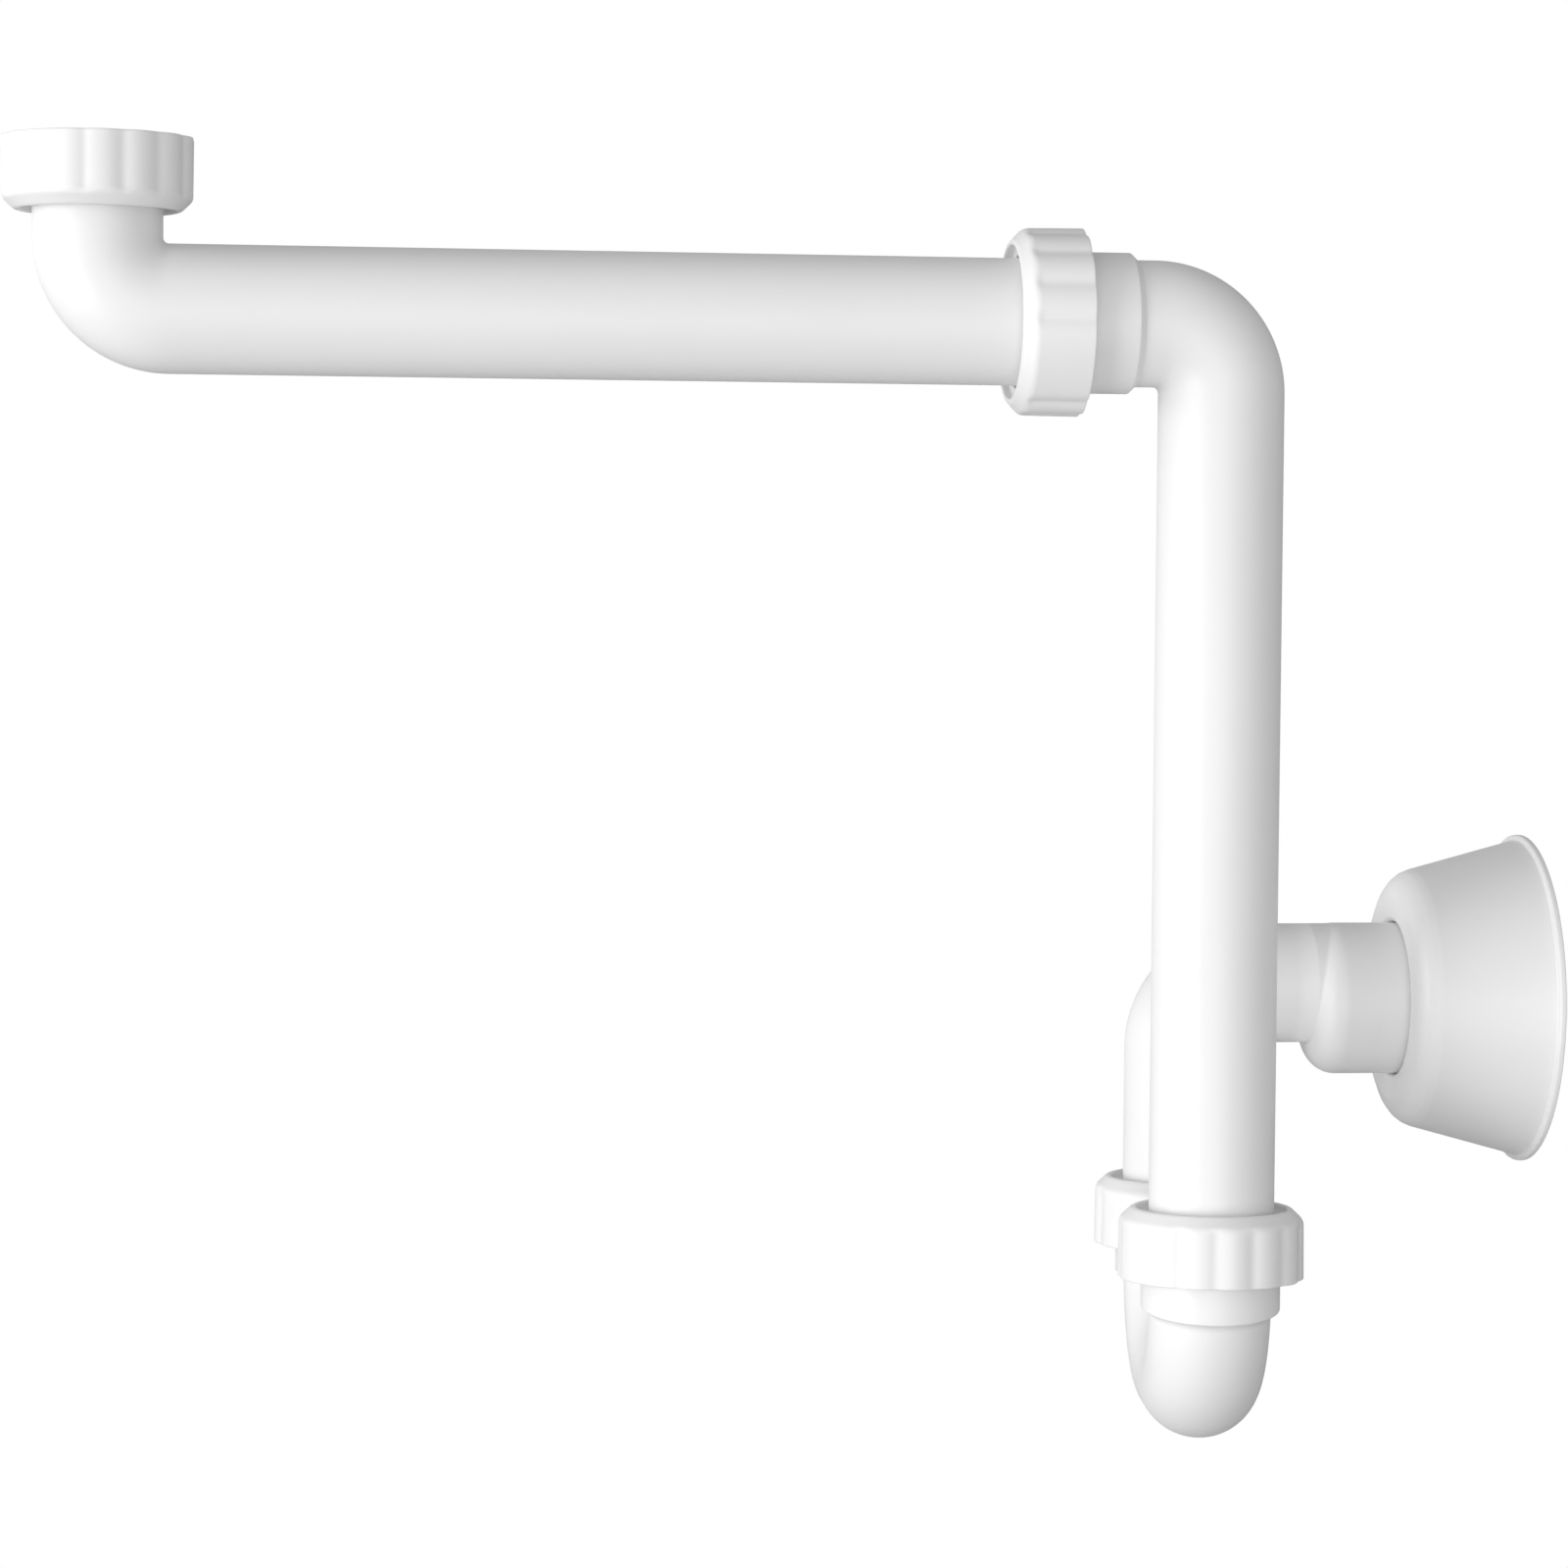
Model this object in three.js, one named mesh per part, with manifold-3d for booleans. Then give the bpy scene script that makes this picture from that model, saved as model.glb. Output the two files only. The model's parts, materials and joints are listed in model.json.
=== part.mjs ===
// Space-saving sink trap in white polypropylene, drawn in millimetres with +Z up.
// The origin lies on the wall spigot's axis, in the plane of the finished wall. +X goes into the wall.
// Waste enters at the union nut, runs along the arm, down the downpipe, round the trap bend
// and out at the wall.
import * as THREE from "three";
import { mergeVertices } from "three/addons/utils/BufferGeometryUtils.js";
import Module from "manifold-3d";

// Pipe and thread sizes.
const PIPE_RADIUS = 19.7;
const PIPE_WALL = 2;
const PIPE_BORE = PIPE_RADIUS - PIPE_WALL;
const ELBOW_RADIUS = 21.5;
const BEND_PIPE_RADIUS = 19.2;
const BEND_BORE = BEND_PIPE_RADIUS - PIPE_WALL;
const BEND_CORNER_RADIUS = 34;
const SPIGOT_RADIUS = 25;
const GAP = 0.3;
const CUT_PAST = 1;

// Where the pieces stand.
const OUTLET_AXIS_Z = 5.1;
const OUTLET_LEG_X = -114.1;
const LEG_SPACING = 77.9;
const BEND_TURN = THREE.MathUtils.degToRad(5.4);
const TRAP_RIM_Z = OUTLET_AXIS_Z - 86.1;
const BEND_AXIS_Z = TRAP_RIM_Z - 37.2;
const ARM_AXIS_Z = TRAP_RIM_Z + 298.7;
const ARM_REACH = 347.3;
const ARM_RIM_REACH = 45;
const INLET_RIM_RISE = 51.4;
const DOWNPIPE_X = OUTLET_LEG_X - LEG_SPACING * Math.sin(BEND_TURN);
const DOWNPIPE_Y = -LEG_SPACING * Math.cos(BEND_TURN);
const INLET_X = DOWNPIPE_X - ARM_REACH;
const INLET_RIM_Z = ARM_AXIS_Z + INLET_RIM_RISE;
const ARM_RIM_X = DOWNPIPE_X - ARM_RIM_REACH;

// Heights inside a joint, measured from the nut's open rim towards the pipe that enters it.
const SOCKET = {
  bore: PIPE_RADIUS + GAP,
  thread: 23.7,
  collar: 21.9,
  threadStart: 1,
  mouth: 15,
  seatStart: 9,
  seatRadius: 23,
};
const TRAP_SOCKET_DEPTH = { boreEnd: -7.5, collarEnd: -9.2, chamferEnd: -10.6 };
const ARM_SOCKET_DEPTH = { boreEnd: -12.5, collarEnd: -15, chamferEnd: -17.2 };
const TRAP_PIPE_END = -3;
const ARM_PIPE_END = -8;
const SEAL = { tip: 11, tipRadius: 20.6, seatTop: 15.1, seatRadius: 22.7, flange: 22.9, top: 16.6 };
const THRUST_RING = { bottom: 16.9, top: 17.9, inner: 20.1, outer: 23.6 };
const NUT = {
  height: 22.4,
  radius: 29.2,
  shoulder: [
    [29.2, 18.2],
    [28.8, 19.3],
    [27.3, 20.7],
    [25.4, 21.9],
    [24.4, 22.4],
  ],
  bore: 24.1,
  web: 18.2,
  webTop: 19.6,
  hole: 20.9,
  lip: 23.8,
  lobes: 5,
  lobeAngle: THREE.MathUtils.degToRad(24),
  valleyDepth: 1.1,
};
const INLET_NUT_TURN = 37.4;
const INLET_FLANGE = { top: 16.2, bottom: 17.9, radius: 23.6 };
const WASHER = { bottom: 15.9, top: 13.9, inner: 18, outer: 23.6 };

// The wall spigot, wider than its pipe and nearly level with it along the top, with a well rounded front.
const SPIGOT_START_X = -73.2;
const SPIGOT_ROUNDING = 9.6;
const SPIGOT_END_X = 6;

// Wall escutcheon, a deep hollow cone with a rim.
const COVER = {
  frontX: -44.4,
  hole: 25.5,
  lipRadius: 2.4,
  lipDepth: 3.4,
  faceRadius: 30.2,
  cornerRadius: 14,
  coneAngle: THREE.MathUtils.degToRad(15.2),
  rim: 54.3,
  rimThickness: 2.2,
  wall: 1.7,
};

// Mesh fineness.
const ROUND_SEGMENTS = 36;
const NUT_SEGMENTS = 40;
const ELBOW_STEPS = 9;
const BEND_STEPS = 12;
const CORNER_STEPS = 6;
const LIP_STEPS = 2;
const LOBE_STEPS = 4;
const FLANK_STEPS = 5;
const SPIGOT_STEPS = 8;
const MERGE_DISTANCE = 1e-4;

const wasm = await Module();
wasm.setup();

const AXIS = {
  up: new THREE.Vector3(0, 0, 1),
  down: new THREE.Vector3(0, 0, -1),
  left: new THREE.Vector3(-1, 0, 0),
  right: new THREE.Vector3(1, 0, 0),
};

const PLASTIC = { color: 0xf3f3f1, roughness: 0.3, metalness: 0 };
const SEAL_RUBBER = { color: 0x6f7274, roughness: 0.7, metalness: 0 };
const RING_PLASTIC = { color: 0xe4e6e4, roughness: 0.45, metalness: 0 };

// A closed three.js geometry as a manifold-3d solid.
function solid(geometry) {
  const bare = geometry.index ? geometry.toNonIndexed() : geometry.clone();
  bare.deleteAttribute("normal");
  bare.deleteAttribute("uv");
  const merged = mergeVertices(bare, MERGE_DISTANCE);
  return new wasm.Manifold(
    new wasm.Mesh({
      numProp: 3,
      vertProperties: merged.attributes.position.array,
      triVerts: new Uint32Array(merged.index.array),
    }),
  );
}

// A manifold-3d solid as a named three.js mesh.
function piece(name, body, look) {
  const mesh = body.getMesh();
  const geometry = new THREE.BufferGeometry();
  geometry.setAttribute("position", new THREE.BufferAttribute(mesh.vertProperties, mesh.numProp));
  geometry.setIndex(new THREE.BufferAttribute(mesh.triVerts, 1));
  geometry.computeVertexNormals();
  const made = new THREE.Mesh(geometry, new THREE.MeshStandardMaterial(look));
  made.name = name;
  return made;
}

// Points of a quarter circle in (radius, height), from one angle to another.
function arc(centreRadius, centreHeight, radius, fromDegrees, toDegrees, steps) {
  return Array.from({ length: steps + 1 }, (_, i) => {
    const angle = THREE.MathUtils.degToRad(fromDegrees + ((toDegrees - fromDegrees) * i) / steps);
    return [centreRadius + radius * Math.cos(angle), centreHeight + radius * Math.sin(angle)];
  });
}

// A ring turned about a joint axis. The outline is (radius, height) pairs, anticlockwise,
// and closes on itself.
function turned(outline, origin, direction, segments = ROUND_SEGMENTS) {
  const points = [...outline, outline[0]].map(([radius, height]) => new THREE.Vector2(radius, height));
  const geometry = new THREE.LatheGeometry(points, segments);
  geometry.rotateX(Math.PI / 2);
  return solid(stood(geometry, origin, direction));
}

// A straight bar or a cut, turned about a joint axis between two heights.
function bar(radius, bottom, top, origin, direction) {
  const geometry = new THREE.CylinderGeometry(radius, radius, top - bottom, ROUND_SEGMENTS);
  geometry.rotateX(Math.PI / 2);
  geometry.translate(0, 0, (top + bottom) / 2);
  return solid(stood(geometry, origin, direction));
}

// Turns a geometry drawn along +Z so that it stands at origin and points along direction.
function stood(geometry, origin, direction) {
  const turn = new THREE.Quaternion().setFromUnitVectors(AXIS.up, direction);
  return geometry.applyQuaternion(turn).translate(origin.x, origin.y, origin.z);
}

// A path whose stations fall on the ends of its straights and arcs.
class StationPath extends THREE.Curve {
  constructor(start, direction) {
    super();
    this.stations = [start.clone()];
    this.tangents = [direction.clone()];
  }

  get end() {
    return this.stations.at(-1);
  }

  get heading() {
    return this.tangents.at(-1);
  }

  line(length) {
    this.tangents.push(this.heading.clone());
    this.stations.push(this.end.clone().addScaledVector(this.heading, length));
    return this;
  }

  turn(towards, radius, steps) {
    const from = this.heading.clone();
    const centre = this.end.clone().addScaledVector(towards, radius);
    for (let i = 1; i <= steps; i++) {
      const angle = ((Math.PI / 2) * i) / steps;
      const spoke = towards.clone().multiplyScalar(-Math.cos(angle)).addScaledVector(from, Math.sin(angle));
      const heading = from.clone().multiplyScalar(Math.cos(angle)).addScaledVector(towards, Math.sin(angle));
      this.stations.push(centre.clone().addScaledVector(spoke, radius));
      this.tangents.push(heading);
    }
    return this;
  }

  get steps() {
    return this.stations.length - 1;
  }

  getPoint(t) {
    return this.stations[Math.round(t * this.steps)].clone();
  }

  getPointAt(t) {
    return this.getPoint(t);
  }

  getTangentAt(t) {
    return this.tangents[Math.round(t * this.steps)].clone();
  }

  getSpacedPoints() {
    return this.stations.map((station) => station.clone());
  }
}

// A round bar swept along a path.
function swept(path, radius) {
  const section = new THREE.Shape().absarc(0, 0, radius, 0, 2 * Math.PI);
  const geometry = new THREE.ExtrudeGeometry(section, {
    steps: path.steps,
    curveSegments: ROUND_SEGMENTS / 2,
    bevelEnabled: false,
    extrudePath: path,
  });
  return solid(geometry);
}

// The threaded end that a nut screws on, with a collar that runs down into its pipe.
function socketBody(origin, direction, depth, pipeRadius) {
  return turned(
    [
      [pipeRadius - PIPE_WALL, depth.chamferEnd],
      [pipeRadius, depth.chamferEnd],
      [SOCKET.collar, depth.collarEnd],
      [SOCKET.collar, SOCKET.threadStart],
      [SOCKET.thread, SOCKET.threadStart],
      [SOCKET.thread, SOCKET.mouth],
      [pipeRadius - PIPE_WALL, SOCKET.mouth],
    ],
    origin,
    direction,
  );
}

// The room inside a threaded end: a bore for the pipe and a cone for the seal.
function socketRoom(origin, direction, depth) {
  const pipeRoom = bar(SOCKET.bore, depth.boreEnd, SOCKET.mouth + CUT_PAST, origin, direction);
  const flare = (SOCKET.seatRadius - SOCKET.bore) / (SOCKET.mouth - SOCKET.seatStart);
  const seat = turned(
    [
      [0, SOCKET.seatStart - GAP],
      [SOCKET.bore - flare * GAP, SOCKET.seatStart - GAP],
      [SOCKET.seatRadius + flare * CUT_PAST, SOCKET.mouth + CUT_PAST],
      [0, SOCKET.mouth + CUT_PAST],
    ],
    origin,
    direction,
  );
  return pipeRoom.add(seat);
}

// The conical seal that sits in the mouth of a socket and grips the pipe.
function seal(name, origin, direction) {
  const inner = PIPE_RADIUS + GAP;
  const outline = [
    [inner, SEAL.tip],
    [SEAL.tipRadius, SEAL.tip],
    [SEAL.seatRadius, SEAL.seatTop],
    [SEAL.flange, SEAL.seatTop + GAP],
    [SEAL.flange, SEAL.top],
    [inner, SEAL.top],
  ];
  return piece(name, turned(outline, origin, direction), SEAL_RUBBER);
}

// The hard ring between a nut and its seal.
function thrustRing(name, origin, direction) {
  const outline = [
    [THRUST_RING.inner, THRUST_RING.bottom],
    [THRUST_RING.outer, THRUST_RING.bottom],
    [THRUST_RING.outer, THRUST_RING.top],
    [THRUST_RING.inner, THRUST_RING.top],
  ];
  return piece(name, turned(outline, origin, direction), RING_PLASTIC);
}

// A nut's outline seen along its axis: two groups of finger lobes with a smooth flank between them.
function nutShape() {
  const outline = [];
  const groupAngle = NUT.lobes * NUT.lobeAngle;
  const flankAngle = Math.PI - groupAngle;
  for (let side = 0; side < 2; side++) {
    const start = side * Math.PI - groupAngle / 2;
    for (let lobe = 0; lobe < NUT.lobes; lobe++) {
      for (let step = 0; step < LOBE_STEPS; step++) {
        const across = step / LOBE_STEPS;
        const fromCrown = 2 * across - 1;
        const radius = NUT.radius - NUT.valleyDepth * fromCrown * fromCrown;
        outline.push([radius, start + (lobe + across) * NUT.lobeAngle]);
      }
    }
    for (let step = 0; step < FLANK_STEPS; step++) {
      const across = step / FLANK_STEPS;
      const radius = step === 0 ? NUT.radius - NUT.valleyDepth : NUT.radius;
      outline.push([radius, start + groupAngle + across * flankAngle]);
    }
  }
  return new THREE.Shape(
    outline.map(([radius, angle]) => new THREE.Vector2(radius * Math.cos(angle), radius * Math.sin(angle))),
  );
}

// A union nut: lobed outside, rounded where the pipe enters, with a web that holds the ring or flange.
function nut(name, origin, direction, turn) {
  const lobed = new THREE.ExtrudeGeometry(nutShape(), { depth: NUT.height, bevelEnabled: false });
  lobed.rotateZ(turn);
  const room = turned(
    [
      [0, -CUT_PAST],
      [NUT.bore, -CUT_PAST],
      [NUT.bore, NUT.web],
      [NUT.hole, NUT.web],
      [NUT.hole, NUT.webTop],
      [NUT.lip, NUT.webTop],
      [NUT.lip, NUT.height + CUT_PAST],
      [0, NUT.height + CUT_PAST],
    ],
    origin,
    direction,
    NUT_SEGMENTS,
  );
  const dome = turned(
    [[0, 0], [NUT.radius + GAP, 0], ...NUT.shoulder, [0, NUT.height]],
    origin,
    direction,
    NUT_SEGMENTS,
  );
  const body = solid(stood(lobed, origin, direction)).intersect(dome).subtract(room);
  return piece(name, body, PLASTIC);
}

// The long inlet arm: a flanged leg that hangs in the inlet nut, an elbow and a tube to the arm joint.
function inletArm(rim) {
  const legTop = INLET_RIM_Z - INLET_FLANGE.top;
  const tubeEnd = ARM_RIM_X - ARM_PIPE_END;
  const route = (past) =>
    new StationPath(new THREE.Vector3(INLET_X, DOWNPIPE_Y, legTop + past), AXIS.down)
      .line(legTop + past - ARM_AXIS_Z - ELBOW_RADIUS)
      .turn(AXIS.right, ELBOW_RADIUS, ELBOW_STEPS)
      .line(tubeEnd + past - INLET_X - ELBOW_RADIUS);
  const flange = bar(INLET_FLANGE.radius, INLET_FLANGE.top, INLET_FLANGE.bottom, rim, AXIS.down);
  const body = swept(route(0), PIPE_RADIUS).add(flange).subtract(swept(route(CUT_PAST), PIPE_BORE));
  return piece("inlet_arm", body, PLASTIC);
}

// The flat washer that seals the inlet flange to the sink waste.
function inletWasher(rim) {
  const outline = [
    [WASHER.inner, WASHER.top],
    [WASHER.outer, WASHER.top],
    [WASHER.outer, WASHER.bottom],
    [WASHER.inner, WASHER.bottom],
  ];
  return piece("inlet_washer", turned(outline, rim, AXIS.down), SEAL_RUBBER);
}

// The downpipe: a threaded socket for the arm, an elbow and the pipe that stands in the trap.
function downpipe(rim) {
  const elbowStart = rim.clone().addScaledVector(AXIS.left, ARM_SOCKET_DEPTH.collarEnd);
  const pipeEnd = TRAP_RIM_Z + TRAP_PIPE_END;
  const route = (past) =>
    new StationPath(elbowStart.clone().addScaledVector(AXIS.left, past), AXIS.right)
      .line(ARM_RIM_REACH + ARM_SOCKET_DEPTH.collarEnd + past - ELBOW_RADIUS)
      .turn(AXIS.down, ELBOW_RADIUS, ELBOW_STEPS)
      .line(ARM_AXIS_Z - ELBOW_RADIUS - pipeEnd + past);
  const socket = socketBody(rim, AXIS.left, ARM_SOCKET_DEPTH, PIPE_RADIUS);
  const room = socketRoom(rim, AXIS.left, ARM_SOCKET_DEPTH);
  const reach = ARM_SOCKET_DEPTH.boreEnd - ARM_SOCKET_DEPTH.collarEnd + CUT_PAST;
  const outside = swept(route(0), PIPE_RADIUS).add(socket);
  const body = outside.subtract(swept(route(reach), PIPE_BORE)).subtract(room);
  return piece("downpipe", body, PLASTIC);
}

// The trap bend that holds the water seal, with a threaded socket on each leg.
function trapBend(inletRim, outletRim) {
  const across = outletRim.clone().sub(inletRim).normalize();
  const route = (past) =>
    new StationPath(inletRim.clone().addScaledVector(AXIS.up, past), AXIS.down)
      .line(TRAP_RIM_Z + past - BEND_AXIS_Z - BEND_CORNER_RADIUS)
      .turn(across, BEND_CORNER_RADIUS, BEND_STEPS)
      .line(LEG_SPACING - 2 * BEND_CORNER_RADIUS)
      .turn(AXIS.up, BEND_CORNER_RADIUS, BEND_STEPS)
      .line(TRAP_RIM_Z + past - BEND_AXIS_Z - BEND_CORNER_RADIUS);
  let body = swept(route(0), BEND_PIPE_RADIUS);
  for (const rim of [inletRim, outletRim]) {
    body = body.add(socketBody(rim, AXIS.up, TRAP_SOCKET_DEPTH, BEND_PIPE_RADIUS));
  }
  body = body.subtract(swept(route(CUT_PAST), BEND_BORE));
  for (const rim of [inletRim, outletRim]) {
    body = body.subtract(socketRoom(rim, AXIS.up, TRAP_SOCKET_DEPTH));
  }
  return piece("trap_bend", body, PLASTIC);
}

// The outlet pipe: a leg that stands in the trap, an elbow and the wider wall spigot.
function outletPipe(outletRim) {
  const legBottom = TRAP_RIM_Z + TRAP_PIPE_END;
  const route = (past) =>
    new StationPath(new THREE.Vector3(outletRim.x, outletRim.y, legBottom - past), AXIS.up)
      .line(OUTLET_AXIS_Z - ELBOW_RADIUS - legBottom + past)
      .turn(AXIS.right, ELBOW_RADIUS, ELBOW_STEPS)
      .line(SPIGOT_START_X + SPIGOT_ROUNDING - OUTLET_LEG_X - ELBOW_RADIUS);
  const outside = swept(route(0), PIPE_RADIUS).add(spigot(0, 0));
  const inside = swept(route(CUT_PAST), PIPE_BORE).add(spigot(PIPE_WALL, CUT_PAST));
  return piece("outlet_pipe", outside.subtract(inside), PLASTIC);
}

// The spigot as a solid bar with a rounded front, drawn in by a wall's thickness for its bore.
function spigot(inset, past) {
  const start = SPIGOT_START_X + inset;
  const radius = SPIGOT_RADIUS - inset;
  const rounding = SPIGOT_ROUNDING - inset;
  const outline = [
    [0, start],
    ...arc(radius - rounding, start + rounding, rounding, -90, 0, SPIGOT_STEPS),
    [radius, SPIGOT_END_X + past],
    [0, SPIGOT_END_X + past],
  ];
  return turned(outline, new THREE.Vector3(0, 0, 0), AXIS.right);
}

// The escutcheon that slides on the spigot and hides the hole in the wall.
function wallEscutcheon() {
  const cornerX = COVER.frontX + COVER.cornerRadius;
  const lipX = COVER.frontX + COVER.lipRadius;
  const lipCentre = COVER.hole + COVER.lipRadius;
  const slope = Math.tan(COVER.coneAngle);
  const coneDegrees = -THREE.MathUtils.radToDeg(COVER.coneAngle);
  const corner = (radius, from, to) => arc(COVER.faceRadius, cornerX, radius, from, to, CORNER_STEPS);
  const coneRadius = (x, radius) =>
    COVER.faceRadius + radius / Math.cos(COVER.coneAngle) + (x - cornerX) * slope;
  const outline = [
    [COVER.hole, COVER.frontX + COVER.lipDepth],
    ...arc(lipCentre, lipX, COVER.lipRadius, -180, -90, LIP_STEPS),
    ...corner(COVER.cornerRadius, -90, coneDegrees),
    [coneRadius(-COVER.rimThickness, COVER.cornerRadius), -COVER.rimThickness],
    [COVER.rim, -COVER.rimThickness],
    [COVER.rim, 0],
    [coneRadius(0, COVER.cornerRadius - COVER.wall), 0],
    ...corner(COVER.cornerRadius - COVER.wall, coneDegrees, -90),
    ...arc(lipCentre, lipX, COVER.lipRadius - COVER.wall, -90, -180, LIP_STEPS),
    [COVER.hole + COVER.wall, COVER.frontX + COVER.lipDepth],
  ];
  const body = turned(outline, new THREE.Vector3(0, 0, 0), AXIS.right, NUT_SEGMENTS);
  return piece("wall_escutcheon", body, PLASTIC);
}

const trap = new THREE.Group();

const inletRim = new THREE.Vector3(INLET_X, DOWNPIPE_Y, INLET_RIM_Z);
const armRim = new THREE.Vector3(ARM_RIM_X, DOWNPIPE_Y, ARM_AXIS_Z);
const trapInletRim = new THREE.Vector3(DOWNPIPE_X, DOWNPIPE_Y, TRAP_RIM_Z);
const trapOutletRim = new THREE.Vector3(OUTLET_LEG_X, 0, TRAP_RIM_Z);

trap.add(inletArm(inletRim), inletWasher(inletRim));
trap.add(nut("inlet_nut", inletRim, AXIS.down, THREE.MathUtils.degToRad(INLET_NUT_TURN)));
trap.add(downpipe(armRim), trapBend(trapInletRim, trapOutletRim));
trap.add(outletPipe(trapOutletRim), wallEscutcheon());

const joints = [
  { name: "arm", rim: armRim, direction: AXIS.left, nutTurn: -31.6 },
  { name: "trap_inlet", rim: trapInletRim, direction: AXIS.up, nutTurn: -63 },
  { name: "trap_outlet", rim: trapOutletRim, direction: AXIS.up, nutTurn: -50.2 },
];
for (const joint of joints) {
  trap.add(
    nut(joint.name + "_nut", joint.rim, joint.direction, THREE.MathUtils.degToRad(joint.nutTurn)),
    thrustRing(joint.name + "_thrust_ring", joint.rim, joint.direction),
    seal(joint.name + "_seal", joint.rim, joint.direction),
  );
}

export default trap;
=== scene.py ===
"""Looks of a white space-saving sink trap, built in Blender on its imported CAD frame."""

import json
import math

import bmesh
import bpy
import numpy as np
from mathutils import Matrix, Vector


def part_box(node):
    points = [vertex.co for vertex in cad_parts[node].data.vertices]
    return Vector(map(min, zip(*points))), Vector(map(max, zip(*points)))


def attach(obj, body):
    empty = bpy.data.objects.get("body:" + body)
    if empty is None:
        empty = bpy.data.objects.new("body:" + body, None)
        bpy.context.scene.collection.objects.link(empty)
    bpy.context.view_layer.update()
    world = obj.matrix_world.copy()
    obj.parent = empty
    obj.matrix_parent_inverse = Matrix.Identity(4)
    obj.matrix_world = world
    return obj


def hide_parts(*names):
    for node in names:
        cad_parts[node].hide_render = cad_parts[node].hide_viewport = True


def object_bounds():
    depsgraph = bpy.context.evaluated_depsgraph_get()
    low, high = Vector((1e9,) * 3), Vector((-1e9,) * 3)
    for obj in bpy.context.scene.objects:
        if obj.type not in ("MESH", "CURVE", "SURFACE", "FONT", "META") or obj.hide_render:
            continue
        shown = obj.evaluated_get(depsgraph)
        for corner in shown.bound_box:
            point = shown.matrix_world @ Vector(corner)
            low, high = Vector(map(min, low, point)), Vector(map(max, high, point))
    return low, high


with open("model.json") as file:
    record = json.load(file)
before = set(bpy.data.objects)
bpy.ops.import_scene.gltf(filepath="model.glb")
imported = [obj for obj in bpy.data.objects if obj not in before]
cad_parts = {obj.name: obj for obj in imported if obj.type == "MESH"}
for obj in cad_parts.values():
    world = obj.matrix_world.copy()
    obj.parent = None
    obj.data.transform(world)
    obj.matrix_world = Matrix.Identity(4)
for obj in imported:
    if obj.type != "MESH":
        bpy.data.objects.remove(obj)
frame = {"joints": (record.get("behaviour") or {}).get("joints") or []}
CAD_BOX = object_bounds()

MM = 0.001
JOINT_AT = {
    joint["name"]: Vector(joint["pos_m"]) for joint in frame["joints"] if "pos_m" in joint
}

# Each joint's open nut rim, on its axis.
INLET_RIM = JOINT_AT["inlet_nut_spin"]
ARM_RIM = JOINT_AT["arm_roll"]
TRAP_INLET_RIM = JOINT_AT["downpipe_swivel"]
TRAP_OUTLET_RIM = JOINT_AT["trap_swivel"]

RIGHT = Vector((1, 0, 0))
LEFT = Vector((-1, 0, 0))
BACK = Vector((0, 1, 0))
UP = Vector((0, 0, 1))
DOWN = Vector((0, 0, -1))

# Pipes: outer radii, bend radii, and how far the bend and the outlet reach from the trap's nuts.
PIPE = 19.7 * MM
WALL = 2 * MM
BEND_PIPE = 19.2 * MM
ELBOW = 21.5 * MM
BEND_CORNER = 34 * MM
BEND_DROP = 37.2 * MM
OUTLET_RISE = 86.1 * MM

# A cut pipe end: how much of the pipe its line takes in, and its chamfer along and across.
PIPE_END_RUN = 4 * MM
PIPE_END_CHAMFER = (1.2 * MM, 0.7 * MM)

# The wide wall spigot, in places from the wall. Its rings crowd where its rounding starts.
SPIGOT = 25 * MM
SPIGOT_START = -73.2 * MM
SPIGOT_ROUNDING = 9.6 * MM
SPIGOT_BLEND = 0.7 * MM
SPIGOT_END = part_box("outlet_pipe")[1].x
SPIGOT_RINGS = 48
SPIGOT_CROWDING = 1.3

# The flange that the inlet nut pulls up, as a height below the nut's rim.
FLANGE_DEPTH = 16.2 * MM
FLANGE_RADIUS = 23.6 * MM
FLANGE_THICKNESS = 1.7 * MM

# Threaded sockets, as radii and as heights from the nut's open rim towards the entering pipe.
SOCKET_BORE = 20 * MM
THREAD_CREST = 23.6 * MM
THREAD_DEPTH = 1.25 * MM
THREAD_PITCH = 2.309 * MM
THREAD_FLANK_SLOPE = 2.6
THREAD_CREST_SHARE = 0.8
COLLAR = 21.9 * MM
THREAD_START = 1 * MM
THREAD_RUN_OUT = 1.6 * MM
THREAD_FLOOR = 22.5 * MM
MALE_THREAD = (1.4 * MM, 14.7 * MM)
SOCKET_MOUTH = 15 * MM
SEAT_START = 9 * MM
SEAT_RADIUS = 23 * MM
SOCKET_REACH = 12 * MM
BEND_CUT_ANGLE = math.radians(36)
BEND_CUT_STEPS = 12
BEND_FILLET = 0.5 * MM
BEND_COLLAR_LEAN = math.tan(math.radians(7))
TRAP_PIPE_END = -3 * MM
ARM_PIPE_END = -8 * MM
TRAP_SOCKET = {"bore_end": -7.5 * MM, "collar_end": -9.4 * MM, "neck": -10.9 * MM}
ARM_SOCKET = {"bore_end": -12.5 * MM, "collar_end": -15 * MM, "neck": -17.2 * MM}

# Union nuts.
NUT_HEIGHT = 22.4 * MM
NUT_RADIUS = 29.2 * MM
NUT_DRAFT = 0.2 * MM
NUT_CREST = 24.0 * MM
NUT_THREAD_DEPTH = 1.1 * MM
NUT_WEB = 18.2 * MM
NUT_WEB_TOP = 19.6 * MM
NUT_HOLE = 20.9 * MM
NUT_LIP = 23.8 * MM
NUT_SHOULDER_START = 18.5 * MM
NUT_SHOULDER_END = (21.9 * MM, 25.4 * MM)
NUT_CHAMFER = 0.6 * MM
NUT_BORE = (1.4 * MM, 16 * MM)
NUT_THREAD = (1.6 * MM, 15.6 * MM)
NUT_RINGS = 24
NUT_ROUND = 240

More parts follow.
